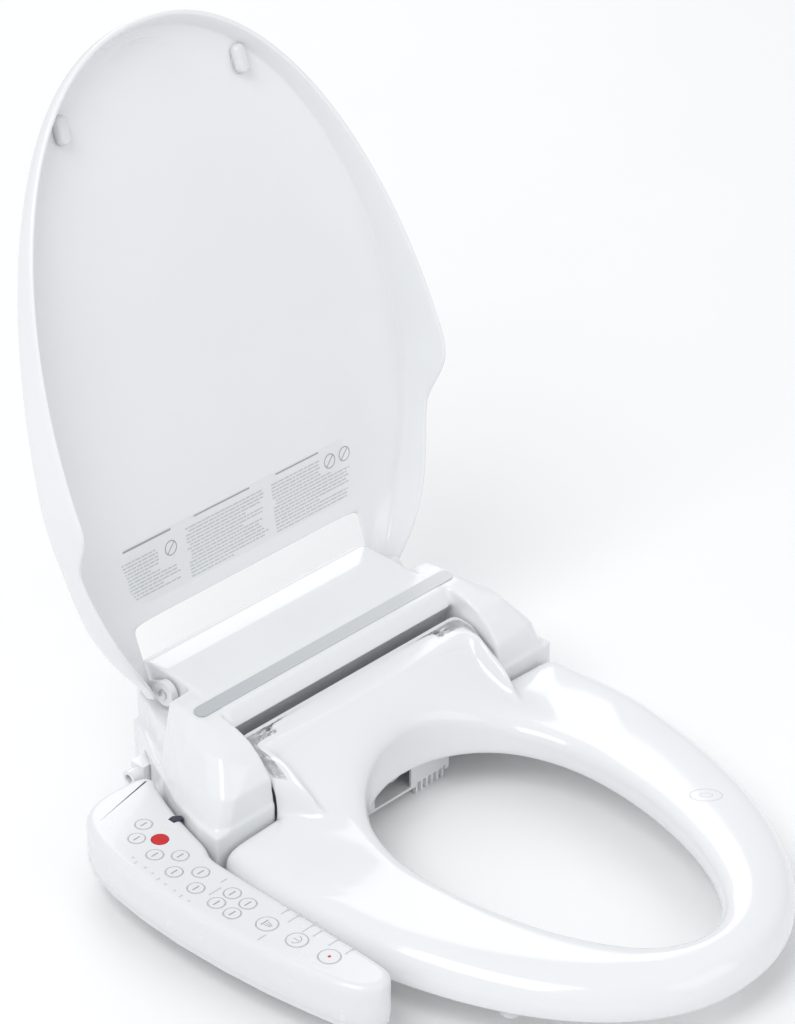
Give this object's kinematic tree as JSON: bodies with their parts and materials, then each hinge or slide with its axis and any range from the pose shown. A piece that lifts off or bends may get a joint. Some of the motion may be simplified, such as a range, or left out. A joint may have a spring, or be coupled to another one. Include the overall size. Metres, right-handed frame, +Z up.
{
  "type": "electric bidet seat",
  "caption": "Electric bidet toilet seat with raised dome lid, heated ring seat, side arm of push keys and sliding wash nozzles, on a bolt-down quick-release plate.",
  "frame": {"origin": "centre of the two bowl bolts, on the plane of the bowl's rim (the underside of the mounting plate)", "axes": "+Z up out of the bowl rim, along the bolts; the seat's front points to -Y; the control arm is on the -X side"},
  "size_m": [0.437, 0.6209, 0.5768],
  "materials": {
    "lid_white": "polished moulded polypropylene, high gloss",
    "seat_white": "polished moulded polypropylene, high gloss",
    "body_white": "polished moulded ABS, high gloss",
    "panel_white": "moulded ABS, satin gloss",
    "white_inner": "moulded, fine matt texture",
    "accent_grey": "satin silver-grey inlay",
    "stop_rubber": "soft translucent elastomer",
    "steel": "ground and bright",
    "heater_film": "printed film",
    "circuit_board": "solder resist",
    "dark_window": "tinted, polished",
    "lens_clear": "diffusing",
    "key_white": "film-covered, satin",
    "key_red": "film-covered, satin",
    "plate_grey": "moulded, matt",
    "tank_clear": "translucent",
    "float_orange": "foamed",
    "black_plastic": "moulded, matt",
    "grey_plastic": "moulded, matt",
    "brass": "turned",
    "mesh_grey": "woven mesh",
    "nozzle_white": "polished",
    "gear_ivory": "moulded acetal"
  },
  "bodies": {
    "mount": {"mounting_plate": "plate_grey"},
    "lid": {"lid": "lid_white", "lid_bumpers": "stop_rubber", "lid_hinge_bushes": "white_inner"},
    "seat": {"seat_top_shell": "seat_white", "seat_bottom_plate": "white_inner", "seat_heater": "heater_film", "seat_bumpers": "stop_rubber"},
    "nozzle_rear": {"nozzle_rear": "nozzle_white"},
    "nozzle_front": {"nozzle_front": "nozzle_white"},
    "pinion_rear": {"nozzle_pinion_rear": "gear_ivory"},
    "pinion_front": {"nozzle_pinion_front": "gear_ivory"},
    "dryer_impeller": {"dryer_impeller": "black_plastic"},
    "deodorizer_fan": {"deodorizer_fan": "black_plastic"},
    "deodorizer_cartridge": {"deodorizer_cartridge": "plate_grey"},
    "release_button": {"release_button": "plate_grey"},
    "tank_float": {"tank_float": "float_orange"},
    "key_air_temp": {"key_air_temp": "key_white"},
    "key_back": {"key_back": "key_white"},
    "key_eco": {"key_eco": "key_white"},
    "key_forward": {"key_forward": "key_white"},
    "key_front_wash": {"key_front_wash": "key_white"},
    "key_minus": {"key_minus": "key_white"},
    "key_night": {"key_night": "key_white"},
    "key_plus": {"key_plus": "key_white"},
    "key_position": {"key_position": "key_white"},
    "key_power": {"key_power": "key_red"},
    "key_pressure": {"key_pressure": "key_white"},
    "key_rear_wash": {"key_rear_wash": "key_white"},
    "key_seat_temp": {"key_seat_temp": "key_white"},
    "key_stop": {"key_stop": "key_white"},
    "key_water_temp": {"key_water_temp": "key_white"},
    "body": {"accent_strip": "accent_grey", "body_base": "white_inner", "body_top_cover": "body_white", "case_screws": "steel", "cord_gland": "body_white", "deodorizer_housing": "grey_plastic", "distributor_valve": "white_inner", "dryer_duct": "grey_plastic", "dryer_fan_housing": "grey_plastic", "dryer_grille": "body_white", "inlet_fitting": "brass", "inlet_strainer": "mesh_grey", "ir_window": "dark_window", "lid_damper": "grey_plastic", "lid_hinge_pins": "steel", "main_pcb": "circuit_board", "nozzle_guide": "plate_grey", "nozzle_housing": "white_inner", "nozzle_motors": "steel", "panel_base": "white_inner", "panel_cover": "panel_white", "panel_pcb": "circuit_board", "seat_damper": "grey_plastic", "seat_hinge_pins": "steel", "solenoid_valve": "black_plastic", "status_lenses": "lens_clear", "tank_heater": "steel", "water_tank": "tank_clear"}
  },
  "joints": [
    {"name": "body_slide", "type": "slide", "parent": "mount", "child": "body", "axis": [0, -1, 0], "range_m": [0, 0.055]},
    {"name": "lid_hinge", "type": "hinge", "parent": "body", "child": "lid", "pos_m": [0, -0.006, 0.091], "axis": [-1, 0, 0], "range_deg": [-113.6, 0]},
    {"name": "seat_hinge", "type": "hinge", "parent": "body", "child": "seat", "pos_m": [0, -0.092, 0.066], "axis": [-1, 0, 0], "range_deg": [0, 97]},
    {"name": "nozzle_rear_slide", "type": "slide", "parent": "body", "child": "nozzle_rear", "axis": [0, -0.9135, -0.4067], "range_m": [0, 0.0628]},
    {"name": "nozzle_front_slide", "type": "slide", "parent": "body", "child": "nozzle_front", "axis": [0, -0.9135, -0.4067], "range_m": [0, 0.0628]},
    {"name": "pinion_rear_spin", "type": "hinge", "parent": "body", "child": "pinion_rear", "pos_m": [-0.009, -0.05235, 0.04419], "axis": [-1, 0, 0], "range_deg": [0, 600]},
    {"name": "pinion_front_spin", "type": "hinge", "parent": "body", "child": "pinion_front", "pos_m": [0.009, -0.05235, 0.04419], "axis": [-1, 0, 0], "range_deg": [0, 600]},
    {"name": "dryer_impeller_spin", "type": "hinge", "parent": "body", "child": "dryer_impeller", "pos_m": [0.062, -0.022, 0.03], "axis": [0, 0, 1], "continuous": true},
    {"name": "deodorizer_fan_spin", "type": "hinge", "parent": "body", "child": "deodorizer_fan", "pos_m": [0.14, -0.049, 0.023], "axis": [0, 1, 0], "continuous": true},
    {"name": "deodorizer_cartridge_slide", "type": "slide", "parent": "body", "child": "deodorizer_cartridge", "axis": [1, 0, 0], "range_m": [0, 0.045]},
    {"name": "release_button_press", "type": "slide", "parent": "body", "child": "release_button", "axis": [-1, 0, 0], "range_m": [0, 0.003], "stiffness_N_per_m": 600},
    {"name": "tank_float_lift", "type": "slide", "parent": "body", "child": "tank_float", "axis": [0, 0, 1], "range_m": [0, 0.008]},
    {"name": "key_air_temp_press", "type": "slide", "parent": "body", "child": "key_air_temp", "axis": [0, 0, -1], "range_m": [0, 0.0005], "stiffness_N_per_m": 800},
    {"name": "key_back_press", "type": "slide", "parent": "body", "child": "key_back", "axis": [0, 0, -1], "range_m": [0, 0.0005], "stiffness_N_per_m": 800},
    {"name": "key_eco_press", "type": "slide", "parent": "body", "child": "key_eco", "axis": [0, 0, -1], "range_m": [0, 0.0005], "stiffness_N_per_m": 800},
    {"name": "key_forward_press", "type": "slide", "parent": "body", "child": "key_forward", "axis": [0, 0, -1], "range_m": [0, 0.0005], "stiffness_N_per_m": 800},
    {"name": "key_front_wash_press", "type": "slide", "parent": "body", "child": "key_front_wash", "axis": [0, 0, -1], "range_m": [0, 0.0005], "stiffness_N_per_m": 800},
    {"name": "key_minus_press", "type": "slide", "parent": "body", "child": "key_minus", "axis": [0, 0, -1], "range_m": [0, 0.0005], "stiffness_N_per_m": 800},
    {"name": "key_night_press", "type": "slide", "parent": "body", "child": "key_night", "axis": [0, 0, -1], "range_m": [0, 0.0005], "stiffness_N_per_m": 800},
    {"name": "key_plus_press", "type": "slide", "parent": "body", "child": "key_plus", "axis": [0, 0, -1], "range_m": [0, 0.0005], "stiffness_N_per_m": 800},
    {"name": "key_position_press", "type": "slide", "parent": "body", "child": "key_position", "axis": [0, 0, -1], "range_m": [0, 0.0005], "stiffness_N_per_m": 800},
    {"name": "key_power_press", "type": "slide", "parent": "body", "child": "key_power", "axis": [0, 0, -1], "range_m": [0, 0.0005], "stiffness_N_per_m": 800},
    {"name": "key_pressure_press", "type": "slide", "parent": "body", "child": "key_pressure", "axis": [0, 0, -1], "range_m": [0, 0.0005], "stiffness_N_per_m": 800},
    {"name": "key_rear_wash_press", "type": "slide", "parent": "body", "child": "key_rear_wash", "axis": [0, 0, -1], "range_m": [0, 0.0005], "stiffness_N_per_m": 800},
    {"name": "key_seat_temp_press", "type": "slide", "parent": "body", "child": "key_seat_temp", "axis": [0, 0, -1], "range_m": [0, 0.0005], "stiffness_N_per_m": 800},
    {"name": "key_stop_press", "type": "slide", "parent": "body", "child": "key_stop", "axis": [0, 0, -1], "range_m": [0, 0.0005], "stiffness_N_per_m": 800},
    {"name": "key_water_temp_press", "type": "slide", "parent": "body", "child": "key_water_temp", "axis": [0, 0, -1], "range_m": [0, 0.0005], "stiffness_N_per_m": 800}
  ],
  "couplings": [
    {"joint": "pinion_rear_spin", "follows": "nozzle_rear_slide", "rad_per_m": 166.67},
    {"joint": "pinion_front_spin", "follows": "nozzle_front_slide", "rad_per_m": 166.67}
  ]
}
